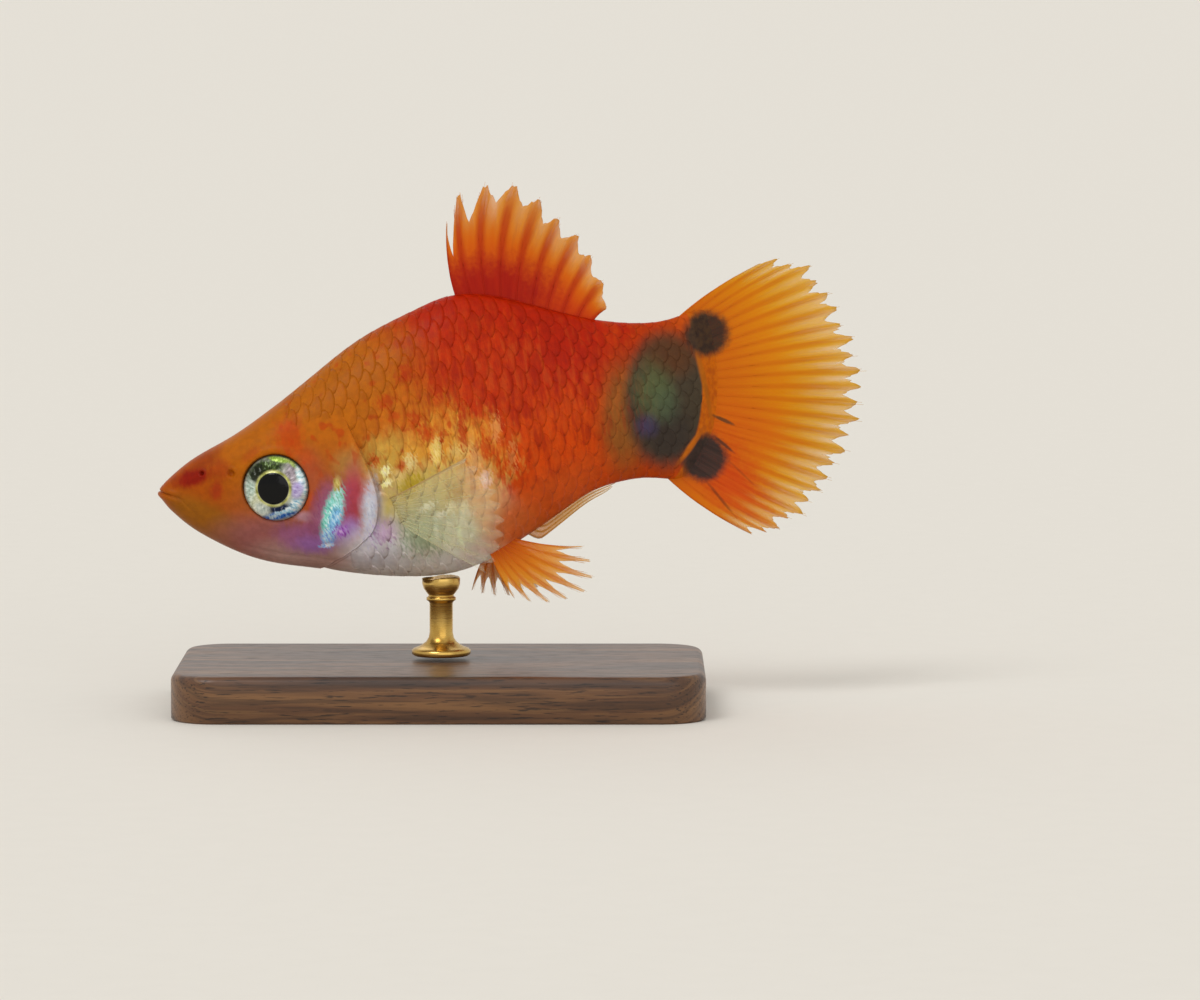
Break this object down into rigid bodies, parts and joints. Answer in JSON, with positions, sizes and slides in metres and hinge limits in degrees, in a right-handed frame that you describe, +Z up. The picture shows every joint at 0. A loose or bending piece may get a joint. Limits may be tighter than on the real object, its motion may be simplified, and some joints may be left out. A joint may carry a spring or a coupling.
{
  "type": "platy fish model",
  "caption": "Life-size still model of a male platy fish with a deep body, fan tail and round back fin, on a flat display base with a short rod.",
  "frame": {"origin": "centre of the underside of the stand's base", "axes": "+Z up, the fish faces -X with its tail towards +X, and -Y is its left side"},
  "size_m": [0.0461, 0.02, 0.0339],
  "materials": {
    "skin": "painted scales, satin varnish",
    "eye": "glossy",
    "fin": "thin rayed membrane, satin",
    "clear_fin": "clear thin membrane, satin",
    "stand_wood": "oiled walnut",
    "stand_brass": "satin brass"
  },
  "bodies": {
    "root": {"head": "skin", "lower_jaw": "skin", "gill_cover_left": "skin", "gill_cover_right": "skin", "torso": "skin", "tail_stalk": "skin", "eye_left": "eye", "eye_right": "eye", "dorsal_fin": "fin", "caudal_fin": "fin", "pelvic_fin_left": "fin", "pelvic_fin_right": "fin", "anal_fin": "clear_fin", "pectoral_fin_left": "clear_fin", "pectoral_fin_right": "clear_fin", "stand_base": "stand_wood", "stand_rod": "stand_brass"}
  },
  "joints": []
}
